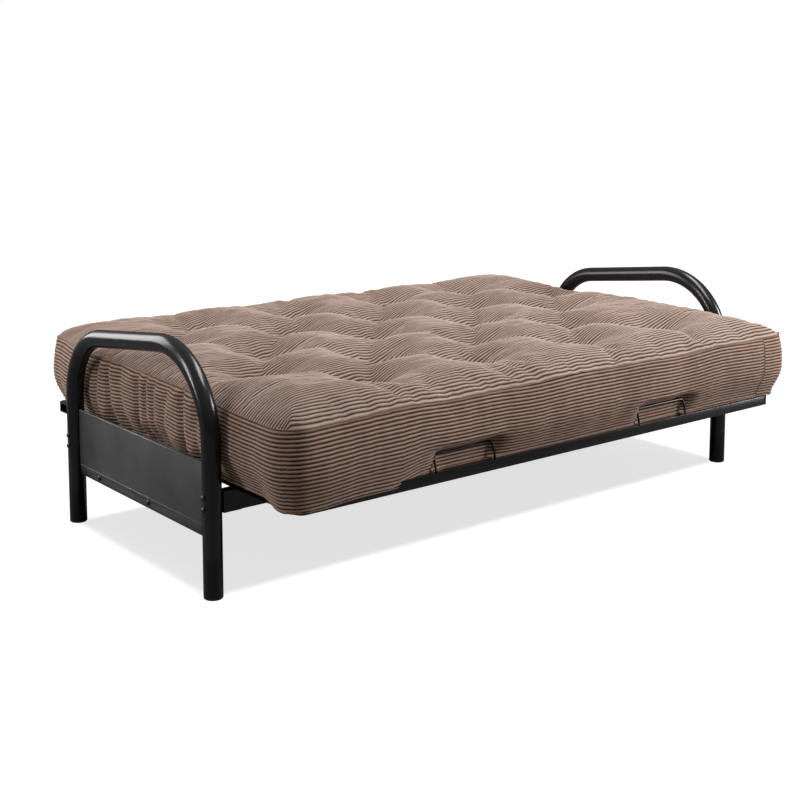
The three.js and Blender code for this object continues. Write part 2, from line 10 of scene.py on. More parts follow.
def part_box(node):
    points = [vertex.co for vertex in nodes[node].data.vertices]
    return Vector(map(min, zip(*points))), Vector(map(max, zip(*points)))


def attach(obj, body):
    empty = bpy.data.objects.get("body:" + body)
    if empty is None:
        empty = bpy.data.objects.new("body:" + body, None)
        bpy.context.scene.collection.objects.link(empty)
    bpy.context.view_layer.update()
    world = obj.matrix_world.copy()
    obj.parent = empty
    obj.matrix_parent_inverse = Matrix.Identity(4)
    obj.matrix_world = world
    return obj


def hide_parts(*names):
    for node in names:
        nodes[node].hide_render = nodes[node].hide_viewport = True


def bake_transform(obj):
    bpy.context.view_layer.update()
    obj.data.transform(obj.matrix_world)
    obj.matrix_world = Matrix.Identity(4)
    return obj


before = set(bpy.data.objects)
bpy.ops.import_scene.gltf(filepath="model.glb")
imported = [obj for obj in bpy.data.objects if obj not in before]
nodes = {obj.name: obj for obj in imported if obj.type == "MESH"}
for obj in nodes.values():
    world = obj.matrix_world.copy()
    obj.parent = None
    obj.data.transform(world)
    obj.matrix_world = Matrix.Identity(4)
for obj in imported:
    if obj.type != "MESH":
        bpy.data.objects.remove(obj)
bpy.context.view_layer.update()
SIDES = {"left": -1, "right": 1}
ENDS = ("front", "back")

# Camera, set to the photograph's viewing angle.
CAMERA_PLACE = Vector((-2.6796, -3.2851, 1.3086))
CAMERA_YAW = math.radians(38.497)
CAMERA_PITCH = math.radians(7.015)
CAMERA_LENS = 62.16
CAMERA_SHIFT = -0.20

# Arm tubes, as designed in the CAD.
FLOOR_GLOW = 0.735
FLOOR_HALF = 30.0
FLAG_Z = 0.24
TUBE_R = 0.025
ARM_TOP_FRONT_Z = 0.6404
ARM_TOP_BACK_Z = 0.5457
ARM_BEND_FRONT = 0.223
ARM_BEND_BACK = 0.194

PANEL_CREASE_Z = 0.176
FLANGE_CORNER = 0.024
WRAP_RADIUS = 0.026
WRAP_THICKNESS = 0.0018

# Mattress: outline at the stitched edge, heights and panels.
EDGE_HALF_X = 0.940
EDGE_HALF_Y = 0.672
EDGE_CORNER_R = 0.075
SEAM_FRONT_Z = 0.477
SEAM_BACK_Z = 0.500
CROWN_Z = 0.523
CROWN_WIDTH = 0.16
BOTTOM_Z = 0.2900
BULGE = 0.013
BOTTOM_INSET = 0.022
BORDER_SEAM_X = 0.845
GATHER_STEP = 0.068
GATHER_DEPTH = 0.042

# Tufts: staggered rows, 9 in apart across the bed and 15 in apart along it.
TUFT_ROW_STEP = 0.2286
TUFT_STEP = 0.381
TUFT_SHIFT = 0.04
TUFT_NEIGHBOUR = 0.36
TUFT_SEED = 4
TUFT_DEPTH = 0.054
TUFT_REACH = 0.074
CREASE_DEPTH = 0.022
CREASE_WIDTH = 0.048

# Corduroy: every rib takes RIB_STEPS rows of the mesh.
RIB_PITCH = 0.0105
RIB_STEPS = 4
RIB_RELIEF = 0.0026
RIB_SHAPE = 0.8
BORDER_RIBS = 20
COLUMN_STEP = 0.0200
BORDER_U = 10.0

# Cloth simulation of the cover.
CLOTH_PRESSURE = 4.0
CLOTH_SLACK = 0.020
CLOTH_FRAMES = 20
CLOTH_CAP = 0.014
ARM_CLEAR_X = 0.9535


# ---- small tools ----

def smooth(a, b, x):
    """0 below a, 1 above b, and an eased ramp between them."""
    t = np.clip((x - a) / (b - a), 0.0, 1.0)
    return t * t * (3 - 2 * t)


def field(points, scale, seed, octaves=3):
    """Smooth noise from -1 to 1 at a set of plan points."""
    return np.array([noise.fractal(Vector((x * scale, y * scale, seed)), 1.0, 2.0, octaves) for x, y in points])


def mesh_object(name, verts, faces, material):
    mesh = bpy.data.meshes.new(name)
    mesh.from_pydata([tuple(v) for v in verts], [], faces)
    mesh.validate()
    for polygon in mesh.polygons:
        polygon.use_smooth = True
    if material:
        mesh.materials.append(material)
    made = bpy.data.objects.new(name, mesh)
    bpy.context.scene.collection.objects.link(made)
    return made


def fillet_path(corners, radii, steps):
    """Points along straight runs joined by circular bends, with the direction at each point."""
    path = [(corners[0], (corners[1] - corners[0]).normalized())]
    for i in range(1, len(corners) - 1):
        into = (corners[i] - corners[i - 1]).normalized()
        out = (corners[i + 1] - corners[i]).normalized()
        turn = into.angle(out)
        start = corners[i] - into * radii[i - 1] * math.tan(turn / 2)
        axis = into.cross(out).normalized()
        centre = start + axis.cross(into) * radii[i - 1]
        for k in range(steps + 1):
            swing = Matrix.Rotation(turn * k / steps, 3, axis)
            path.append((centre + swing @ (start - centre), swing @ into))
    path.append((corners[-1], (corners[-1] - corners[-2]).normalized()))
    return path


def sweep(name, path, across, radius, sides, material, closed=False):
    """Round bar along a flat path; across is the normal of the plane that the path lies in."""
    verts, faces = [], []
    for point, along in path:
        normal = across.cross(along).normalized()
        for k in range(sides):
            a = 2 * math.pi * k / sides
            verts.append(point + normal * (math.cos(a) * radius) + across * (math.sin(a) * radius))
    rings = len(path)
    for i in range(rings if closed else rings - 1):
        for k in range(sides):
            n, j = (k + 1) % sides, (i + 1) % rings
            faces.append((i * sides + k, i * sides + n, j * sides + n, j * sides + k))
    if not closed:
        faces.append(tuple(reversed(range(sides))))
        faces.append(tuple(range((rings - 1) * sides, rings * sides)))
    return mesh_object(name, verts, faces, material)


def turned(name, profile, centre, side, material, sides=32):
    """Solid of revolution about an X-parallel line; the profile is (radius, x) points, x towards side."""
    verts, faces = [], []
    for radius, x in profile:
        for k in range(sides):
            a = 2 * math.pi * k / sides
            verts.append((side * x, centre[0] + radius * math.cos(a), centre[1] + radius * math.sin(a)))
    for i in range(len(profile) - 1):
        for k in range(sides):
            n = (k + 1) % sides
            quad = (i * sides + k, i * sides + n, (i + 1) * sides + n, (i + 1) * sides + k)
            faces.append(quad if side < 0 else tuple(reversed(quad)))
    made = mesh_object(name, verts, faces, material)
    work = bmesh.new()
    work.from_mesh(made.data)
    bmesh.ops.remove_doubles(work, verts=work.verts, dist=1e-6)
    bmesh.ops.recalc_face_normals(work, faces=work.faces)
    work.to_mesh(made.data)
    work.free()
    return made


# ---- materials ----

def new_material(name):
    material = bpy.data.materials.new(name)
    material.use_nodes = True
    tree = material.node_tree
    shader = tree.nodes["Principled BSDF"]
    return material, tree, shader


def add(tree, kind, **values):
    node = tree.nodes.new(kind)
    for key, value in values.items():
        if hasattr(node, key):
            setattr(node, key, value)
        else:
            node.inputs[key].default_value = value
    return node


def maths(tree, operation, first, second=None):
    node = tree.nodes.new("ShaderNodeMath")
    node.operation = operation
    for slot, value in enumerate((first, second)):
        if value is None:
            continue
        if isinstance(value, (int, float)):
            node.inputs[slot].default_value = value
        else:
            tree.links.new(value, node.inputs[slot])
    return node.outputs[0]


def ramp(tree, value, low, high, low_colour, high_colour):
    node = tree.nodes.new("ShaderNodeValToRGB")
    node.color_ramp.elements[0].position = low
    node.color_ramp.elements[1].position = high
    node.color_ramp.elements[0].color = (*low_colour, 1)
    node.color_ramp.elements[1].color = (*high_colour, 1)
    tree.links.new(value, node.inputs[0])
    return node.outputs[0]


def powder_coat(name, colour, roughness, coat):
    """Gloss black powder coat with a faint orange peel and slightly uneven gloss."""
    material, tree, shader = new_material(name)
    place = add(tree, "ShaderNodeTexCoord").outputs["Object"]
    peel = add(tree, "ShaderNodeTexNoise", Scale=420.0, Detail=2.0)
    cloud = add(tree, "ShaderNodeTexNoise", Scale=9.0, Detail=4.0)
    tree.links.new(place, peel.inputs["Vector"])
    tree.links.new(place, cloud.inputs["Vector"])
    tree.links.new(ramp(tree, cloud.outputs[0], 0.3, 0.7, [c * 0.8 for c in colour], [c * 1.25 for c in colour]),
                   shader.inputs["Base Color"])
    tree.links.new(maths(tree, "MULTIPLY_ADD", cloud.outputs[0], 0.10), shader.inputs["Roughness"])
    shader.inputs["Roughness"].links[0].from_node.inputs[2].default_value = roughness - 0.05
    shader.inputs["Coat Weight"].default_value = coat
    shader.inputs["Coat Roughness"].default_value = 0.12
    bump = add(tree, "ShaderNodeBump", Strength=0.05, Distance=0.0002)
    tree.links.new(peel.outputs[0], bump.inputs["Height"])
    tree.links.new(bump.outputs[0], shader.inputs["Normal"])
    return material


def plain_plastic():
    material, tree, shader = new_material("cap_plastic")
    grain = add(tree, "ShaderNodeTexNoise", Scale=900.0, Detail=3.0)
    tree.links.new(add(tree, "ShaderNodeTexCoord").outputs["Object"], grain.inputs["Vector"])
    tree.links.new(ramp(tree, grain.outputs[0], 0.3, 0.7, (0.008,) * 3, (0.016,) * 3), shader.inputs["Base Color"])
    shader.inputs["Roughness"].default_value = 0.6
    bump = add(tree, "ShaderNodeBump", Strength=0.2, Distance=0.0003)
    tree.links.new(grain.outputs[0], bump.inputs["Height"])
    tree.links.new(bump.outputs[0], shader.inputs["Normal"])
    return material


def corduroy(border_seam_u):
    """Wide-wale corduroy: rounded pile ribs along U, with painted shade darkening the grooves between them."""
    material, tree, shader = new_material("corduroy")
    link = tree.links.new
    uv = add(tree, "ShaderNodeUVMap", uv_map="Cloth")
    place = add(tree, "ShaderNodeTexCoord").outputs["Object"]
    split = add(tree, "ShaderNodeSeparateXYZ")
    link(uv.outputs[0], split.inputs[0])
    fuzz = add(tree, "ShaderNodeTexNoise", Scale=520.0, Detail=3.0)
    patch = add(tree, "ShaderNodeTexNoise", Scale=5.0, Detail=4.0)
    brushed = add(tree, "ShaderNodeTexNoise", Scale=38.0, Detail=3.0)
    for texture in (fuzz, patch, brushed):
        link(place, texture.inputs["Vector"])
    wave = maths(tree, "COSINE", maths(tree, "MULTIPLY", split.outputs[1], 2 * math.pi))
    wave = maths(tree, "MULTIPLY_ADD", wave, -0.5)
    wave.node.inputs[2].default_value = 0.5
    rib = maths(tree, "POWER", wave, RIB_SHAPE)
    # stitched line down the border
    off_seam = maths(tree, "ABSOLUTE", maths(tree, "SUBTRACT", split.outputs[0], border_seam_u))
    stitch = maths(tree, "LESS_THAN", off_seam, 0.0016)
    rib = maths(tree, "SUBTRACT", rib, maths(tree, "MULTIPLY", stitch, 0.55))
    fuzzy = maths(tree, "ADD", rib, maths(tree, "MULTIPLY", maths(tree, "SUBTRACT", fuzz.outputs[0], 0.5), 0.5))
    fuzzy = maths(tree, "ADD", fuzzy, maths(tree, "MULTIPLY", maths(tree, "SUBTRACT", brushed.outputs[0], 0.5), 0.4))
    # Painted shade: the groove colour is far darker than the rib colour and stands in for the shade that falls in the
    # grooves between the ribs.
    groove_shade_colour, ridge_colour = (0.046, 0.024, 0.015), (0.365, 0.268, 0.220)
    pile = ramp(tree, fuzzy, 0.12, 0.92, groove_shade_colour, ridge_colour)
    shade = ramp(tree, patch.outputs[0], 0.3, 0.7, (0.88, 0.86, 0.85), (1.06, 1.07, 1.09))
    tint = add(tree, "ShaderNodeMix", data_type="RGBA", blend_type="MULTIPLY")
    tint.inputs[0].default_value = 1.0
    link(pile, tint.inputs[6])
    link(shade, tint.inputs[7])
    # Painted shade: the border strip is multiplied warmer and darker than the top, standing in for the shade and sheen
    # of the pile on the side faces.
    border_shade_tint = add(tree, "ShaderNodeMix", data_type="RGBA", blend_type="MULTIPLY")
    link(maths(tree, "GREATER_THAN", split.outputs[0], BORDER_U / 2), border_shade_tint.inputs[0])
    link(tint.outputs[2], border_shade_tint.inputs[6])
    border_shade_tint.inputs[7].default_value = (1.0, 0.91, 0.84, 1)
    link(border_shade_tint.outputs[2], shader.inputs["Base Color"])
    shader.inputs["Roughness"].default_value = 0.92
    shader.inputs["Specular IOR Level"].default_value = 0.15
    shader.inputs["Sheen Weight"].default_value = 0.12
    shader.inputs["Sheen Roughness"].default_value = 0.45
    shader.inputs["Sheen Tint"].default_value = (0.95, 0.86, 0.80, 1)
    height = maths(tree, "ADD", rib, maths(tree, "MULTIPLY", fuzz.outputs[0], 0.16))
    bump = add(tree, "ShaderNodeBump", Strength=0.6, Distance=0.0016)
    link(height, bump.inputs["Height"])
    link(bump.outputs[0], shader.inputs["Normal"])
    return material


def thread_material():
    material, tree, shader = new_material("seam_thread")
    twist = add(tree, "ShaderNodeTexNoise", Scale=700.0, Detail=2.0)
    tree.links.new(add(tree, "ShaderNodeTexCoord").outputs["Object"], twist.inputs["Vector"])
    tree.links.new(ramp(tree, twist.outputs[0], 0.3, 0.7, (0.11, 0.055, 0.035), (0.25, 0.15, 0.11)),
                   shader.inputs["Base Color"])
    shader.inputs["Roughness"].default_value = 0.85
    bump = add(tree, "ShaderNodeBump", Strength=0.5, Distance=0.0006)
    tree.links.new(twist.outputs[0], bump.inputs["Height"])
    tree.links.new(bump.outputs[0], shader.inputs["Normal"])
    return material


# ---- mattress ----

def into_outline(x, y, half_x, half_y, radius):
    """Moves the corners of a rectangle's grid into a rounded rectangle."""
    dx = np.abs(x) - (half_x - radius)
    dy = np.abs(y) - (half_y - radius)
    corner = (dx > 0) & (dy > 0)
    reach = np.maximum(dx, dy)
    length = np.where(corner, np.hypot(dx, dy), 1.0)
    new_x = np.where(corner, np.sign(x) * (half_x - radius + dx / length * reach), x)
    new_y = np.where(corner, np.sign(y) * (half_y - radius + dy / length * reach), y)
    return new_x, new_y


def inside_by(x, y):
    """How far a point of the top panel is inside its stitched edge."""
    qx = np.abs(x) - (EDGE_HALF_X - EDGE_CORNER_R)
    qy = np.abs(y) - (EDGE_HALF_Y - EDGE_CORNER_R)
    outside = np.hypot(np.maximum(qx, 0), np.maximum(qy, 0))
    return np.clip(EDGE_CORNER_R - outside - np.minimum(np.maximum(qx, qy), 0), 0, None)


def tuft_points():
    """Staggered tuft places, with the small hand-made unevenness of a real tufted mattress."""
    noise.seed_set(TUFT_SEED)
    found = []
    for j in range(-2, 3):
        for i in range(-3, 4):
            x = (i + (0.5 if j % 2 == 0 else 0.0)) * TUFT_STEP + TUFT_SHIFT
            y = j * TUFT_ROW_STEP
            wobble = noise.noise_vector(Vector((i * 1.7, j * 2.3, 4.0)))
            x, y = x + wobble.x * 0.03, y + wobble.y * 0.022
            if abs(x) < EDGE_HALF_X - 0.12:
                found.append((x, y))
    return np.array(found)


def crease(x, y, a, b):
    """Soft valley along the line between two tufts, deepest at its ends."""
    d = b - a
    length = np.hypot(*d)
    t = np.clip(((x - a[0]) * d[0] + (y - a[1]) * d[1]) / length ** 2, 0, 1)
    away = np.hypot(x - a[0] - t * d[0], y - a[1] - t * d[1])
    depth = 0.40 + 0.60 * np.abs(2 * t - 1) ** 1.5
    return depth * np.exp(-(away / CREASE_WIDTH) ** 1.6)


def seam_height(x, y):
    """Height of the stitched top edge: lower at the front, lowest at the near corner."""
    z = SEAM_FRONT_Z + (SEAM_BACK_Z - SEAM_FRONT_Z) * smooth(-0.60, 0.10, y)
    near_corner = np.exp(-(((x + 0.93) / 0.22) ** 2 + ((y + 0.67) / 0.22) ** 2))
    ripple = 0.0025 * np.sin(x * 9.3 + 1.0) + 0.0015 * np.sin(x * 21.0 + y * 17.0)
    return z - 0.006 * near_corner + ripple


def top_height(x, y, tufts):
    """Crowned, tufted top: pits at the ties, creases between them and full pillows in the middle."""
    edge = inside_by(x, y)
    inward = 1 - np.clip(edge / CROWN_WIDTH, 0, 1)
    rise = (1 - inward ** 2.3) ** 0.92
    z = seam_height(x, y) + (CROWN_Z - seam_height(x, y)) * rise
    dip = np.zeros_like(x)
    folds = np.zeros_like(x)
    for n, (tx, ty) in enumerate(tufts):
        r = np.hypot(x - tx, (y - ty) * 1.1)
        angle = np.arctan2(y - ty, x - tx)
        depth = 1.0 + 0.22 * math.sin(5.1 * n)
        dip = np.maximum(dip, depth * np.exp(-(r / TUFT_REACH) ** 1.05))
        folds += np.cos((5 + n % 3) * angle + 9 * tx) * np.exp(-((r - 0.055) / 0.038) ** 2)
    valley = np.zeros_like(x)
    for i, a in enumerate(tufts):
        for b in tufts[i + 1:]:
            if np.hypot(*(b - a)) < TUFT_NEIGHBOUR:
                valley = np.maximum(valley, crease(x, y, a, b))
    lumps = field(np.column_stack([x, y]), 3.2, 1.0) + 0.4 * field(np.column_stack([x, y]), 9.0, 7.0)
    settle = smooth(0.0, 0.10, edge)
    ridges = 0.0034 * field(np.column_stack([x * 0.6, y * 1.6]), 18.0, 5.0, 2)
    dips = TUFT_DEPTH * dip + CREASE_DEPTH * valley + 0.0032 * folds
    return z - settle * dips + settle * (0.007 * lumps + ridges)


def lean(x, y):
    """The ends aren't square: fuller at the front right corner, drawn in at the back left one."""
    right = 0.037 * smooth(0.80, 0.93, x) * smooth(-0.600, -0.655, y)
    left = 0.026 * smooth(-0.80, -0.93, x) * smooth(0.42, 0.60, y)
    return right + left


def gathers(x, y, t):
    """Deep soft pleats down the border at the -X end, where the strip is gathered under the arm."""
    here = smooth(-0.88, -0.925, x) * smooth(0.42, 0.24, np.abs(y + 0.02))
    place = y + 0.012 * np.sin(y * 31 + 2.0 * t) + 0.010 * t * np.sin(y * 13)
    wave = np.abs(np.sin(place * math.pi / GATHER_STEP + 0.9 * np.sin(y * 17 + 0.6)))
    folds = (wave ** 0.55 - 0.62) * (0.62 + 0.38 * np.sin(y * 27 + 1.0))
    return here * folds * GATHER_DEPTH * smooth(-0.05, 0.22, t) * smooth(1.1, 0.75, t)


def finer(rows, factor):
    """Adds smooth rows between the given ones."""
    padded = np.concatenate([2 * rows[:1] - rows[1:2], rows, 2 * rows[-1:] - rows[-2:-1]])
    out = []
    for i in range(len(rows) - 1):
        p0, p1, p2, p3 = padded[i:i + 4]
        for k in range(factor):
            t = k / factor
            bend = (2 * p0 - 5 * p1 + 4 * p2 - p3) * t ** 2 + (3 * p1 - p0 - 3 * p2 + p3) * t ** 3
            out.append(p1 + 0.5 * ((p2 - p0) * t + bend))
    out.append(rows[-1])
    return np.array(out)


def normals_of(grid, wrap):
    """Unit normals of a grid of points."""
    down = np.gradient(grid, axis=0)
    if wrap:
        along = (np.roll(grid, -1, 1) - np.roll(grid, 1, 1)) / 2
    else:
        along = np.gradient(grid, axis=1)
    normal = np.cross(along, down)
    return normal / np.maximum(np.linalg.norm(normal, axis=2, keepdims=True), 1e-9)


def rib_height(phase):
    """Rounded pile with a narrow groove, from 0 in the groove to 1 on the rib."""
    return (0.5 - 0.5 * np.cos(2 * np.pi * phase)) ** RIB_SHAPE


def build_mattress(material):
    """One closed cover: tufted top panel, border strip and bottom panel, sewn together at the seams."""
    columns = round(2 * EDGE_HALF_X / COLUMN_STEP) + 1
    rows = round(2 * EDGE_HALF_Y / RIB_PITCH) + 1
    gx, gy = np.meshgrid(np.linspace(-EDGE_HALF_X, EDGE_HALF_X, columns), np.linspace(-EDGE_HALF_Y, EDGE_HALF_Y, rows))
    x, y = into_outline(gx, gy, EDGE_HALF_X, EDGE_HALF_Y, EDGE_CORNER_R)
    tufts = tuft_points()
    height = top_height(x.ravel(), y.ravel(), tufts).reshape(x.shape)
    top = np.dstack([x + lean(x, y), y, height])

    last_row, last_column = rows - 1, columns - 1
    ring = [(0, i) for i in range(last_column)] + [(j, last_column) for j in range(last_row)]
    ring += [(last_row, i) for i in range(last_column, 0, -1)] + [(j, 0) for j in range(last_row, 0, -1)]
    edge = np.array([top[j, i] for j, i in ring])
    along = np.roll(edge[:, :2], -1, 0) - np.roll(edge[:, :2], 1, 0)
    outward = np.column_stack([along[:, 1], -along[:, 0]])
    outward /= np.linalg.norm(outward, axis=1)[:, None]

    # The front edge left of the first loop hangs over the rail; behind each loop the cover is held back.
    ex, ey = edge[:, 0], edge[:, 1]
    front = smooth(-0.60, -0.655, ey)
    hang = np.maximum(front * smooth(-0.50, -0.62, ex), smooth(-0.905, -0.925, ex) * smooth(-0.53, -0.65, ey))
    held = front * sum(np.exp(-(np.clip(np.abs(ex - loop_x) - 0.083, 0, None) / 0.032) ** 2) for loop_x in LOOP_X)
    inset = BOTTOM_INSET * (1 - hang) + 0.009 * hang
    over_end = smooth(0.905, 0.93, np.abs(ex)) * (1 - hang)
    bottom_z = BOTTOM_Z - 0.001 * front - 0.016 * hang - 0.008 * hang * smooth(-0.70, -0.86, ex) - 0.006 * over_end
    bx, by = into_outline(gx * (EDGE_HALF_X - BOTTOM_INSET) / EDGE_HALF_X,
                          gy * (EDGE_HALF_Y - BOTTOM_INSET) / EDGE_HALF_Y,
                          EDGE_HALF_X - BOTTOM_INSET, EDGE_HALF_Y - BOTTOM_INSET, EDGE_CORNER_R)
    arch = 0.024 * smooth(0.26, 0.03, np.abs(by))
    bottom = np.dstack([bx, by, BOTTOM_Z + arch])
    hem = np.empty_like(edge)
    hem[:, :2] = edge[:, :2] - outward * inset[:, None]
    hem[:, 1] = np.where(front > 0, np.maximum(hem[:, 1], LOOP_BACK_Y * held - 1.0 * (1 - held)), hem[:, 1])
    rim_arch = np.array([arch[j, i] for j, i in ring])
    hem[:, 2] = bottom_z + rim_arch
    for k, (j, i) in enumerate(ring):
        bottom[j, i] = hem[k]

    strip = [edge]
    wander = field(edge[:, :2], 2.6, 3.0) + 0.7 * field(edge[:, :2], 8.0, 6.0)
    for r in range(1, BORDER_RIBS):
        t = r / BORDER_RIBS
        lift = edge[:, 2] * (1 - t) + hem[:, 2] * t
        swell = BULGE * math.sin(math.pi * t ** 0.95) ** 0.85
        creases = 0.0065 * wander * math.sin(math.pi * t ** 1.4)
        out = swell + creases + gathers(ex, ey, t) - inset * smooth(0.45, 1.0, t) ** 1.6
        plan = edge[:, :2] + outward * out[:, None]
        limit = LOOP_BACK_Y - np.clip(lift - LOOP_TOP_Z - 0.006, 0, None) * 2.2
        plan[:, 1] += held * np.maximum(limit - plan[:, 1], 0)
        strip.append(np.column_stack([plan, lift]))
    strip.append(hem)
    strip = np.array(strip)
    top, strip = settle(top, strip, bottom, ring, tufts)
    return sew_cover(top, strip, bottom, ring, strip[0], hem, outward, tufts, material)


def settle(top, strip, bottom, ring, tufts):
    """Inflates the sewn cover as cloth held at its ties, seams and underside, so that it wrinkles by itself."""
    rows, columns = top.shape[:2]
    count = len(ring)
    top_count = rows * columns
    bottom_start = top_count + (len(strip) - 2) * count

    def strip_vertex(r, k):
        if r == 0:
            return ring[k][0] * columns + ring[k][1]
        if r == len(strip) - 1:
            return bottom_start + ring[k][0] * columns + ring[k][1]
        return top_count + (r - 1) * count + k

    faces = []
    for start, turned_over in ((0, False), (bottom_start, True)):
        for j in range(rows - 1):
            for i in range(columns - 1):
                a = start + j * columns + i
                quad = (a, a + 1, a + columns + 1, a + columns)
                faces.append(quad[::-1] if turned_over else quad)
    for r in range(len(strip) - 1):
        for k in range(count):
            n = (k + 1) % count
            faces.append((strip_vertex(r + 1, k), strip_vertex(r + 1, n), strip_vertex(r, n), strip_vertex(r, k)))
    verts = np.vstack([top.reshape(-1, 3), strip[1:-1].reshape(-1, 3), bottom.reshape(-1, 3)])
    bag = mesh_object("simulated_bag", verts, faces, None)

    pins = np.zeros(len(verts))
    plan = verts[:top_count, :2]
    for tx, ty in tufts:
        r = np.hypot(plan[:, 0] - tx, plan[:, 1] - ty)
        pins[:top_count] = np.maximum(pins[:top_count], smooth(0.022, 0.010, r))
    pins[[j * columns + i for j, i in ring]] = 0.85
    pins[top_count:bottom_start] = np.repeat(np.linspace(0.30, 0.95, len(strip) - 2), count)
    pins[bottom_start:] = 1.0
    group = bag.vertex_groups.new(name="held")
    for index, weight in enumerate(pins):
        if weight > 0:
            group.add([index], float(weight), "REPLACE")
    cloth = bag.modifiers.new("cloth", "CLOTH").settings
    cloth.quality = 5
    cloth.mass = 0.25
    cloth.tension_stiffness = cloth.compression_stiffness = 12
    cloth.shear_stiffness = 3
    cloth.bending_stiffness = 0.25
    cloth.use_pressure = True
    cloth.uniform_pressure_force = CLOTH_PRESSURE
    cloth.shrink_min = -CLOTH_SLACK
    cloth.vertex_group_mass = "held"
    cloth.effector_weights.gravity = 0
    scene = bpy.context.scene
    for step in range(1, CLOTH_FRAMES + 1):
        scene.frame_set(step)
    evaluated = bag.evaluated_get(bpy.context.evaluated_depsgraph_get())
    moved = np.empty(len(verts) * 3)
    evaluated.data.vertices.foreach_get("co", moved)
    shift = moved.reshape(-1, 3) - verts
    scene.frame_set(1)
    bpy.data.objects.remove(bag)
    length = np.maximum(np.linalg.norm(shift, axis=1, keepdims=True), 1e-9)
    shift *= np.minimum(length, CLOTH_CAP) / length
    top = top + shift[:top_count].reshape(top.shape)
    strip = strip.copy()
    strip[1:-1] += 0.5 * shift[top_count:bottom_start].reshape(len(strip) - 2, count, 3)
    between_arms = (strip[:, :, 1] > -0.605) & (strip[:, :, 1] < 0.46)
    strip[:, :, 0] = np.where(between_arms, np.clip(strip[:, :, 0], -ARM_CLEAR_X, ARM_CLEAR_X), strip[:, :, 0])
    for k, (j, i) in enumerate(ring):
        strip[0, k] = top[j, i]
    return top, strip


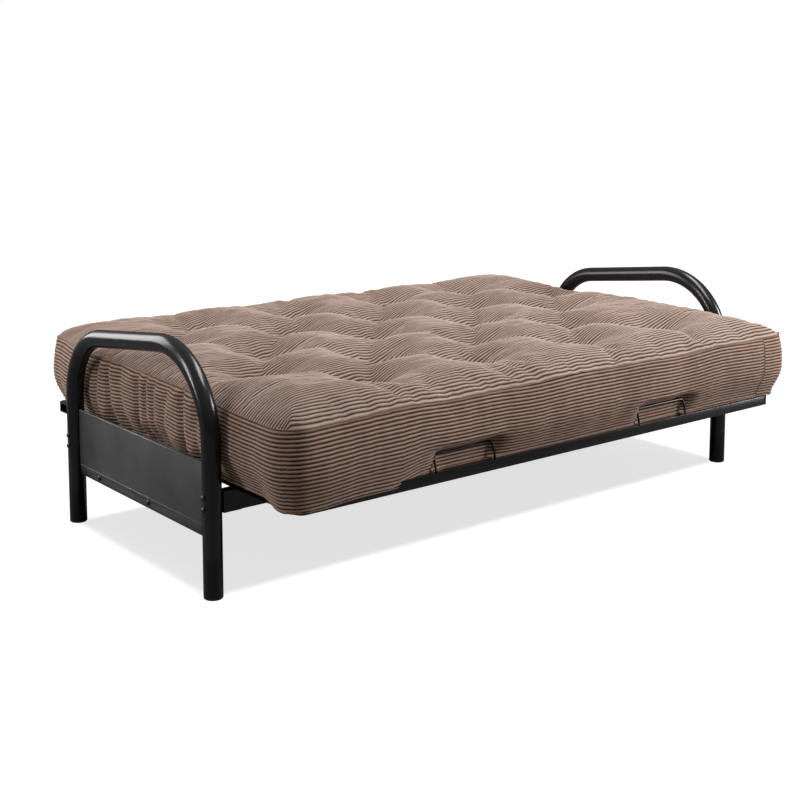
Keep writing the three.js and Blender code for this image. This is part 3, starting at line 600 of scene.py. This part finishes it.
def sew_cover(top, strip, bottom, ring, edge, hem, outward, tufts, material):
    """Raises the ribs on the panels and joins the three of them into one mesh."""
    rows, columns = top.shape[:2]
    count = len(ring)
    edge_step = np.linalg.norm(np.roll(edge, -1, 0) - edge, axis=1)
    distance = np.concatenate([[0], np.cumsum(edge_step)])
    seam_column = int(np.argmin(np.abs(edge[:, 0] - BORDER_SEAM_X) + 10 * (edge[:, 1] > 0)))
    back_seam_column = int(np.argmin(np.abs(edge[:, 0] + BORDER_SEAM_X) + 10 * (edge[:, 1] < 0)))

    top_fine = finer(top, RIB_STEPS)
    plan = top_fine[:, :, :2].reshape(-1, 2)
    sway = 0.30 * field(plan, 5.0, 11.0).reshape(top_fine.shape[:2])
    top_phase = np.arange(len(top_fine))[:, None] / RIB_STEPS + sway
    inner = smooth(0.0, 0.012, inside_by(plan[:, 0], plan[:, 1])).reshape(sway.shape)
    raised = (rib_height(top_phase) - 0.5) * RIB_RELIEF * inner
    top_fine = top_fine + normals_of(top_fine, False) * raised[:, :, None]

    strip_fine = finer(strip, RIB_STEPS)
    strip_rows = len(strip_fine) - 1
    r_index = np.arange(strip_rows + 1)[:, None] / RIB_STEPS
    turn = 2 * np.pi * distance[:count] / distance[-1]
    strip_sway = 0.22 * np.sin(turn * 5) + 0.12 * np.sin(turn * 13)
    past = (np.arange(count) >= seam_column) & (np.arange(count) < back_seam_column)
    strip_phase = r_index + strip_sway[None, :] + 0.45 * past[None, :]
    fade = smooth(0, 1, r_index) * smooth(BORDER_RIBS, BORDER_RIBS - 1, r_index)
    pleated = smooth(-0.88, -0.925, edge[:, 0]) * smooth(0.46, 0.30, np.abs(edge[:, 1]))
    raised = (rib_height(strip_phase) - 0.5) * RIB_RELIEF * fade * (1 - 0.5 * pleated)
    raised[:, (seam_column, back_seam_column)] -= 0.002 * fade
    strip_fine = strip_fine - normals_of(strip_fine, True) * raised[:, :, None]

    fine = [[j * RIB_STEPS * columns + i for i in range(columns)] for j in range(rows)]
    top_count = len(top_fine) * columns
    bottom_start = top_count + (strip_rows - 1) * count

    def lower_vertex(r, k):
        if r == strip_rows:
            return bottom_start + ring[k][0] * columns + ring[k][1]
        return top_count + (r - 1) * count + k

    def first_row(k):
        """Vertices of the top panel's edge from ring place k to the next one."""
        (j0, i0), (j1, i1) = ring[k], ring[(k + 1) % count]
        if j0 == j1:
            return [fine[j0][i0], fine[j1][i1]]
        step = RIB_STEPS if j1 > j0 else -RIB_STEPS
        start = j0 * RIB_STEPS
        return [(start + s * (1 if step > 0 else -1)) * columns + i0 for s in range(RIB_STEPS + 1)]

    faces, uvs = [], []
    for j in range(len(top_fine) - 1):
        for i in range(columns - 1):
            a = j * columns + i
            faces.append((a, a + 1, a + columns + 1, a + columns))
            uvs.append([(top_fine[p][q][0], top_phase[p, q]) for p, q in ((j, i), (j, i + 1), (j + 1, i + 1), (j + 1, i))])
    for r in range(strip_rows):
        for k in range(count):
            n = (k + 1) % count
            u0, u1 = BORDER_U + distance[k], BORDER_U + distance[k + 1]
            v0, v1 = r / RIB_STEPS, (r + 1) / RIB_STEPS
            left, right = strip_sway[k] + 0.45 * past[k], strip_sway[n] + 0.45 * past[k]
            upper = first_row(k) if r == 0 else [lower_vertex(r, k), lower_vertex(r, n)]
            faces.append((lower_vertex(r + 1, k), lower_vertex(r + 1, n), *reversed(upper)))
            spots = [(u0, v1 + left), (u1, v1 + right)]
            for s in range(len(upper) - 1, -1, -1):
                f = s / (len(upper) - 1)
                spots.append((u0 + (u1 - u0) * f, v0 + left + (right - left) * f))
            uvs.append(spots)
    for j in range(rows - 1):
        for i in range(columns - 1):
            a = bottom_start + j * columns + i
            faces.append((a + columns, a + columns + 1, a + 1, a))
            uvs.append([(bottom[p][q][0], p) for p, q in ((j + 1, i), (j + 1, i + 1), (j, i + 1), (j, i))])

    verts = np.vstack([top_fine.reshape(-1, 3), strip_fine[1:-1].reshape(-1, 3), bottom.reshape(-1, 3)])
    mesh = bpy.data.meshes.new("mattress_cover")
    mesh.from_pydata([tuple(v) for v in verts], [], faces)
    layer = mesh.uv_layers.new(name="Cloth")
    layer.data.foreach_set("uv", np.array([spot for face in uvs for spot in face]).ravel())
    mesh.polygons.foreach_set("use_smooth", [True] * len(faces))
    mesh.materials.append(material)
    cover = bpy.data.objects.new("mattress_cover", mesh)
    bpy.context.scene.collection.objects.link(cover)
    return cover, edge, hem, outward, tufts


def seam_cord(name, edge, outward, radius, material, lift, out):
    """Turned edge of the seam, standing a little proud all round."""
    points = edge.copy()
    points[:, :2] += outward * out
    points[:, 2] += lift
    verts, faces = [], []
    count, sides = len(points), 8
    for k, point in enumerate(points):
        for s in range(sides):
            a = 2 * math.pi * s / sides
            side = math.cos(a) * radius
            verts.append((point[0] + outward[k, 0] * side, point[1] + outward[k, 1] * side,
                          point[2] + math.sin(a) * radius))
    for k in range(count):
        n = (k + 1) % count
        for s in range(sides):
            t = (s + 1) % sides
            faces.append((k * sides + s, k * sides + t, n * sides + t, n * sides + s))
    return mesh_object(name, verts, faces, material)


def tuft_ties(tufts, cover, material):
    """A short doubled thread at the bottom of each tuft."""
    verts, faces = [], []
    points = np.empty(len(cover.data.vertices) * 3)
    cover.data.vertices.foreach_get("co", points)
    points = points.reshape(-1, 3)
    tops = points[points[:, 2] > 0.43]
    for n, (tx, ty) in enumerate(tufts):
        near = tops[np.argmin((tops[:, 0] - tx) ** 2 + (tops[:, 1] - ty) ** 2)]
        turn = 0.9 * n
        for strand in (-1, 1):
            start = len(verts)
            for k in range(9):
                s = (k / 8 - 0.5) * 0.020
                x = near[0] + math.cos(turn) * s - math.sin(turn) * strand * 0.0016
                y = near[1] + math.sin(turn) * s + math.cos(turn) * strand * 0.0016
                point = Vector((x, y, near[2] + 0.0026 - 30 * s * s))
                for a in range(6):
                    angle = 2 * math.pi * a / 6
                    sideways = Vector((-math.sin(turn), math.cos(turn), 0)) * math.cos(angle) * 0.0011
                    verts.append(point + sideways + Vector((0, 0, math.sin(angle) * 0.0011)))
            for k in range(8):
                for a in range(6):
                    b = (a + 1) % 6
                    low, high = start + k * 6, start + (k + 1) * 6
                    faces.append((low + a, low + b, high + b, high + a))
    return mesh_object("tuft_ties", verts, faces, material)


# ---- metal ----

def centre_of(node):
    low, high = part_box(node)
    return (low + high) / 2


def smooth_arm(name, side, material):
    front, back = centre_of(f"foot_cap_front_{name}"), centre_of(f"foot_cap_back_{name}")
    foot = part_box(f"arm_{name}")[0].z
    x = side * abs(front.x)
    corners = [Vector((x, front.y, foot)), Vector((x, front.y, ARM_TOP_FRONT_Z)),
               Vector((x, back.y, ARM_TOP_BACK_Z)), Vector((x, back.y, foot))]
    path = fillet_path(corners, [ARM_BEND_FRONT, ARM_BEND_BACK], 28)
    return sweep(f"arm_tube_{name}", path, Vector((1, 0, 0)), TUBE_R, 56, material)


def smooth_bolt(node, material):
    """Domed bolt with a washer under its head and a nut on its inner end."""
    low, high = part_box(node)
    side = 1 if (low.x + high.x) > 0 else -1
    inner, outer = sorted((abs(low.x), abs(high.x)))
    centre = ((low.y + high.y) / 2, (low.z + high.z) / 2)
    head = outer - 0.0045
    dome = [(0.0066 * math.cos(a), head + 0.0008 + 0.0037 * math.sin(a)) for a in np.linspace(0, math.pi / 2, 9)]
    socket = [(0.0026, dome[-1][1] - 0.0002), (0.0026, dome[-1][1] - 0.0022), (0.0, dome[-1][1] - 0.0022)]
    profile = [(0.0, inner), (0.0070, inner), (0.0074, inner + 0.0005), (0.0074, inner + 0.0058), (0.004, inner + 0.006),
               (0.004, head), (0.0075, head), (0.0075, head + 0.0008), *dome[:-1], *socket]
    return turned(f"{node}_round", profile, centre, side, material)


def smooth_pin(node, material, radius, head_radius):
    low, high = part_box(node)
    side = 1 if (low.x + high.x) > 0 else -1
    inner, outer = sorted((abs(low.x), abs(high.x)))
    centre = ((low.y + high.y) / 2, (low.z + high.z) / 2)
    lip = 0.0026
    profile = [(0.0, inner), (head_radius - 0.0008, inner), (head_radius, inner + 0.0008), (head_radius, inner + lip),
               (radius, inner + lip), (radius, outer - lip), (head_radius, outer - lip),
               (head_radius, outer - 0.0008), (head_radius - 0.0008, outer), (0.0, outer)]
    return turned(f"{node}_round", profile, centre, side, material)


def softened(node, material, width, corner=0.0):
    """The node's own shape with its sheet-metal edges rolled, so that they catch the light."""
    mesh = nodes[node].data.copy()
    mesh.name = f"{node}_rolled"
    work = bmesh.new()
    work.from_mesh(mesh)
    bmesh.ops.remove_doubles(work, verts=work.verts, dist=1e-6)
    bmesh.ops.dissolve_limit(work, angle_limit=math.radians(1), verts=work.verts, edges=work.edges)
    if corner:
        reach_x = max(abs(v.co.x) for v in work.verts) - 1e-4
        reach_y = max(abs(v.co.y) for v in work.verts) - 1e-4
        tips = [e for e in work.edges if all(abs(v.co.x) > reach_x and abs(v.co.y) > reach_y for v in e.verts)]
        bmesh.ops.bevel(work, geom=tips, offset=corner, segments=6, profile=0.5, affect="EDGES")
    work.to_mesh(mesh)
    work.free()
    mesh.materials.clear()
    mesh.materials.append(material)
    for polygon in mesh.polygons:
        polygon.use_smooth = True
    made = bpy.data.objects.new(f"{node}_rolled", mesh)
    bpy.context.scene.collection.objects.link(made)
    bevel = made.modifiers.new("rolled_edges", "BEVEL")
    bevel.width = width
    bevel.segments = 2
    bevel.limit_method = "ANGLE"
    bevel.angle_limit = math.radians(35)
    bevel.harden_normals = True
    return made


def corner_wrap(half, name, material):
    """The end of a cross rail's web, bent round the deck's corner."""
    side = SIDES[name]
    end = -1 if half == "seat" else 1
    low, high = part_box(f"{half}_side_rail_{name}")
    outer_x = max(abs(low.x), abs(high.x))
    outer_y = max(abs(low.y), abs(high.y))
    verts, faces = [], []
    steps = 10
    for k in range(steps + 1):
        a = math.pi / 2 * k / steps
        for radius in (WRAP_RADIUS, WRAP_RADIUS - WRAP_THICKNESS):
            x = outer_x - WRAP_RADIUS + radius * math.sin(a)
            y = outer_y - WRAP_RADIUS + radius * math.cos(a)
            for z in (low.z + 0.0004, high.z - 0.0004):
                verts.append((side * x, end * y, z))
    for k in range(steps):
        a, b = 4 * k, 4 * (k + 1)
        faces += [(a, b, b + 1, a + 1), (a + 2, a + 3, b + 3, b + 2), (a + 1, b + 1, b + 3, a + 3), (a, a + 2, b + 2, b)]
    faces += [(0, 1, 3, 2), (4 * steps, 4 * steps + 2, 4 * steps + 3, 4 * steps + 1)]
    made = mesh_object(f"deck_corner_{half}_{name}", verts, faces, material)
    work = bmesh.new()
    work.from_mesh(made.data)
    bmesh.ops.recalc_face_normals(work, faces=work.faces)
    work.to_mesh(made.data)
    work.free()
    made.data.set_sharp_from_angle(angle=math.radians(40))
    return made


def panel_bead(name, height, radius, material):
    """Thin roll along the outer face of an end panel, drawn in a light coat that paints a highlight line on it."""
    side = SIDES[name]
    low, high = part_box(f"end_panel_{name}")
    x = side * (max(abs(low.x), abs(high.x)) - 0.4 * radius)
    path = fillet_path([Vector((x, low.y + 0.004, height)), Vector((x, high.y - 0.004, height))], [], 1)
    return sweep(f"panel_bead_{name}_{round(height * 1000)}", path, Vector((0, 0, 1)), radius, 12, material)


def loop_wire(name, material):
    low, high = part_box(f"retainer_loop_{name}")
    radius = 0.003
    x0, x1 = low.x + radius, high.x - radius
    foot_y, top_y = low.y + radius, high.y - radius
    corners = [Vector((x0, foot_y, low.z)), Vector((x0, top_y, high.z - radius)),
               Vector((x1, top_y, high.z - radius)), Vector((x1, foot_y, low.z))]
    across = (corners[1] - corners[0]).normalized().cross(Vector((1, 0, 0))).normalized()
    path = fillet_path(corners, [0.012, 0.012], 8)
    return sweep(f"retainer_wire_{name}", path, across, radius, 16, material)


def wire_deck(half, material):
    """Welded grid of round wires, long ones over cross ones."""
    low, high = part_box(f"{half}_wire_grid")
    radius = (high.z - low.z) / 4
    verts, faces = [], []
    columns, rows = 9, 4

    def wire(a, b, sides=8):
        start = len(verts)
        along = (b - a).normalized()
        first = along.cross(Vector((0, 0, 1)))
        for point in (a, b):
            for k in range(sides):
                angle = 2 * math.pi * k / sides
                verts.append(point + first * math.cos(angle) * radius + Vector((0, 0, math.sin(angle) * radius)))
        for k in range(sides):
            n = (k + 1) % sides
            faces.append((start + k, start + n, start + sides + n, start + sides + k))
        faces.append(tuple(start + k for k in reversed(range(sides))))
        faces.append(tuple(start + sides + k for k in range(sides)))

    for i in range(columns * 2 + 1):
        x = low.x + radius + i / (columns * 2) * (high.x - low.x - 2 * radius)
        wire(Vector((x, low.y, high.z - radius)), Vector((x, high.y, high.z - radius)))
    for j in range(rows + 1):
        y = low.y + radius + j / rows * (high.y - low.y - 2 * radius)
        wire(Vector((low.x, y, low.z + radius)), Vector((high.x, y, low.z + radius)))
    return mesh_object(f"{half}_wire_deck", verts, faces, material)


# ---- assembly ----

loop_boxes = {name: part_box(f"retainer_loop_{name}") for name in SIDES}
LOOP_X = [(low.x + high.x) / 2 for low, high in loop_boxes.values()]
LOOP_BACK_Y = max(high.y for low, high in loop_boxes.values()) + 0.0025
LOOP_TOP_Z = max(high.z for low, high in loop_boxes.values())

gloss_black = powder_coat("gloss_powder_coat", (0.0035, 0.0035, 0.004), 0.24, 0.0)
# Painted reflection: the end panels' black is made lighter than the arms', standing in for the bright studio mirrored
# broadly in the flat satin sheet.
sheet_black_painted_reflection = powder_coat("sheet_coat_painted_reflection", (0.050, 0.050, 0.051), 0.42, 0.0)
# Painted highlight: a light grey coat for the panel beads, standing in for the bright lines that light draws along the
# panels' lip and crease.
bead_highlight_paint = powder_coat("panel_bead_highlight_paint", (0.17, 0.17, 0.172), 0.38, 0.0)
satin_black = powder_coat("satin_powder_coat", (0.006, 0.006, 0.007), 0.28, 0.0)
bolt_black = powder_coat("bolt_black_oxide", (0.010, 0.010, 0.010), 0.32, 0.0)
cap_plastic = plain_plastic()
thread = thread_material()
border_cloth = corduroy(BORDER_U + EDGE_HALF_X + BORDER_SEAM_X)

for name, node in nodes.items():
    node.data.materials.clear()
    if name.startswith("foot_cap"):
        node.data.materials.append(cap_plastic)
    elif name.startswith("end_panel"):
        node.data.materials.append(sheet_black_painted_reflection)
    elif name.startswith(("arm", "stretcher", "seat_side", "back_side", "seat_front", "back_top")):
        node.data.materials.append(gloss_black)
    elif "bolt" in name or "pin" in name or "rivet" in name:
        node.data.materials.append(bolt_black)
    else:
        node.data.materials.append(satin_black)

for name, side in SIDES.items():
    tube = smooth_arm(name, side, gloss_black)
    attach(tube, "base")
    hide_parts(f"arm_{name}")
    loop = loop_wire(name, satin_black)
    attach(loop, "seat_deck")
    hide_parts(f"retainer_loop_{name}")
    for node in [n for n in nodes if "bolt" in n and name in n]:
        bolt = smooth_bolt(node, bolt_black)
        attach(bolt, "base")
        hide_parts(node)
    for node, body, radius, head in ((f"deck_pin_{name}", "back_deck", 0.005, 0.008),
                                     (f"fold_pin_{name}", "seat_deck", 0.005, 0.008),
                                     (f"seat_leaf_rivet_{name}", "seat_deck", 0.004, 0.007),
                                     (f"back_leaf_rivet_{name}", "back_deck", 0.004, 0.007)):
        pin = smooth_pin(node, bolt_black, radius, head)
        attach(pin, body)
        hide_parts(node)

ROLLED = {"base": ("stretcher_front", "stretcher_back", "end_panel_left", "end_panel_right"),
          "seat_deck": ("seat_front_rail", "seat_fold_rail", "seat_side_rail_left", "seat_side_rail_right"),
          "back_deck": ("back_fold_rail", "back_top_rail", "back_side_rail_left", "back_side_rail_right")}
for body, names in ROLLED.items():
    for name in names:
        finish = sheet_black_painted_reflection if name.startswith("end_panel") else gloss_black
        rolled = softened(name, finish, 0.0006, FLANGE_CORNER if "side_rail" in name else 0.0)
        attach(rolled, body)
        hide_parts(name)
for half in ("seat", "back"):
    for name in SIDES:
        wrap = corner_wrap(half, name, gloss_black)
        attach(wrap, f"{half}_deck")
# Crease and top-lip beads, in the light coat that paints highlight lines on the end panels.
for name in SIDES:
    for height, radius in ((PANEL_CREASE_Z, 0.0009), (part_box(f"end_panel_{name}")[1].z - 0.0014, 0.0016)):
        bead = panel_bead(name, height, radius, bead_highlight_paint)
        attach(bead, "base")

for half in ("seat", "back"):
    deck = wire_deck(half, satin_black)
    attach(deck, f"{half}_deck")
    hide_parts(f"{half}_wire_grid")

cover, top_edge, bottom_edge, edge_out, tufts = build_mattress(border_cloth)
seams = [
    seam_cord("top_seam", top_edge, edge_out, 0.0017, thread, 0.0006, 0.0012),
    seam_cord("bottom_seam", bottom_edge, edge_out, 0.0024, thread, 0.0, 0.0),
    tuft_ties(tufts, cover, thread),
]
for piece in (cover, *seams):
    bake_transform(piece)
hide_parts("mattress_seat", "mattress_back", "mattress_fold")


# ---- floor, light and camera ----

def paper_material():
    material, tree, shader = new_material("floor_paper")
    shader.inputs["Base Color"].default_value = (0.30, 0.30, 0.30, 1)
    shader.inputs["Roughness"].default_value = 1.0
    shader.inputs["Specular IOR Level"].default_value = 0.0
    glow = add(tree, "ShaderNodeEmission")
    glow.inputs["Strength"].default_value = FLOOR_GLOW
    both = add(tree, "ShaderNodeAddShader")
    seen = add(tree, "ShaderNodeLightPath")
    pick = add(tree, "ShaderNodeMixShader")
    link = tree.links.new
    link(shader.outputs[0], both.inputs[0])
    link(glow.outputs[0], both.inputs[1])
    link(seen.outputs["Is Camera Ray"], pick.inputs[0])
    link(shader.outputs[0], pick.inputs[1])
    link(both.outputs[0], pick.inputs[2])
    link(pick.outputs[0], tree.nodes["Material Output"].inputs["Surface"])
    dim = add(tree, "ShaderNodeBsdfDiffuse")
    dim.inputs["Color"].default_value = (0.13, 0.13, 0.13, 1)
    link(dim.outputs[0], pick.inputs[1])
    return material


def make_floor():
    size = FLOOR_HALF
    verts = [(-size, -size, 0), (size, -size, 0), (size, size, 0), (-size, size, 0)]
    floor = mesh_object("floor", verts, [(0, 1, 2, 3)], floor_paper)
    return floor


def linking_group(name, item, included):
    """A light-linking group with one item in it, or with everything but that item."""
    group = bpy.data.collections.new(name)
    group.objects.link(item)
    if not included:
        group.collection_objects[0].light_linking.link_state = "EXCLUDE"
    return group


def link_light(light, floor, flag, for_floor):
    """The floor's sun lights the floor alone past the flag alone; every other light does the rest."""
    light.light_linking.receiver_collection = linking_group(f"{light.name}_lights", floor, for_floor)
    light.light_linking.blocker_collection = linking_group(f"{light.name}_blocked_by", flag, for_floor)


def make_flag():
    """Unseen studio flag between the legs, which lays the plain soft shadow on the floor."""
    front, back = centre_of("foot_cap_front_left"), centre_of("foot_cap_back_left")
    x, z = abs(front.x) + TUBE_R / 2, FLAG_Z
    verts = [(-x, front.y, z), (x, front.y, z), (x, back.y, z), (-x, back.y, z)]
    flag = mesh_object("shadow_flag", verts, [(0, 1, 2, 3)], floor_paper)
    flag.visible_camera = flag.visible_diffuse = flag.visible_glossy = False
    flag.visible_transmission = flag.visible_volume_scatter = False
    return flag


def aim(holder, place, target):
    holder.location = place
    holder.rotation_mode = "QUATERNION"
    holder.rotation_quaternion = (Vector(target) - Vector(place)).to_track_quat("-Z", "Y")
    bpy.context.scene.collection.objects.link(holder)


def make_softbox(name, place, target, size, power, floor, flag):
    data = bpy.data.lights.new(name, "AREA")
    data.shape = "RECTANGLE"
    data.size, data.size_y = size
    data.energy = power
    light = bpy.data.objects.new(name, data)
    aim(light, place, target)
    link_light(light, floor, flag, False)


def make_floor_sun(floor, flag):
    data = bpy.data.lights.new("floor_sun", "SUN")
    data.energy = 3.6
    data.angle = math.radians(11)
    light = bpy.data.objects.new("floor_sun", data)
    aim(light, (0, 0, 3.2), (0, 0, 0))
    link_light(light, floor, flag, True)


def make_world():
    """White to the camera; for everything else a dim studio, lighter above than at the horizon."""
    world = bpy.data.worlds.new("studio")
    bpy.context.scene.world = world
    world.use_nodes = True
    tree = world.node_tree
    link = tree.links.new
    background = tree.nodes["Background"]
    split = add(tree, "ShaderNodeSeparateXYZ")
    link(add(tree, "ShaderNodeTexCoord").outputs["Generated"], split.inputs[0])
    sky = ramp(tree, split.outputs[2], 0.0, 0.8, (0.055, 0.055, 0.055), (0.42, 0.42, 0.42))
    seen = add(tree, "ShaderNodeLightPath")
    pick = add(tree, "ShaderNodeMix", data_type="RGBA")
    link(seen.outputs["Is Camera Ray"], pick.inputs[0])
    link(sky, pick.inputs[6])
    pick.inputs[7].default_value = (1, 1, 1, 1)
    link(pick.outputs[2], background.inputs["Color"])


def make_camera():
    data = bpy.data.cameras.new("camera")
    data.lens = CAMERA_LENS
    data.sensor_width = 36.0
    data.shift_y = CAMERA_SHIFT
    camera = bpy.data.objects.new("camera", data)
    camera.location = CAMERA_PLACE
    ahead = Vector((math.sin(CAMERA_YAW) * math.cos(CAMERA_PITCH),
                    math.cos(CAMERA_YAW) * math.cos(CAMERA_PITCH), -math.sin(CAMERA_PITCH)))
    camera.rotation_mode = "QUATERNION"
    camera.rotation_quaternion = ahead.to_track_quat("-Z", "Y")
    bpy.context.scene.collection.objects.link(camera)
    bpy.context.scene.camera = camera


floor_paper = paper_material()
floor = make_floor()
flag = make_flag()
make_world()
make_floor_sun(floor, flag)
SOFTBOXES = (
    ("top_softbox", (0.7, -0.7, 3.1), (0.0, -0.05, 0.4), (2.8, 0.9), 80),
    ("right_softbox", (3.3, -2.6, 1.6), (0.2, -0.5, 0.4), (0.7, 2.2), 172),
    ("left_softbox", (-1.9, 2.5, 1.7), (-0.95, 0.0, 0.35), (1.8, 2.0), 60),
    ("fill_softbox", (-3.4, 0.7, 1.6), (-0.9, 0.0, 0.3), (0.35, 1.6), 40),
)
for name, place, target, size, power in SOFTBOXES:
    make_softbox(name, place, target, size, power, floor, flag)
make_camera()
bpy.context.scene.view_settings.view_transform = "Standard"
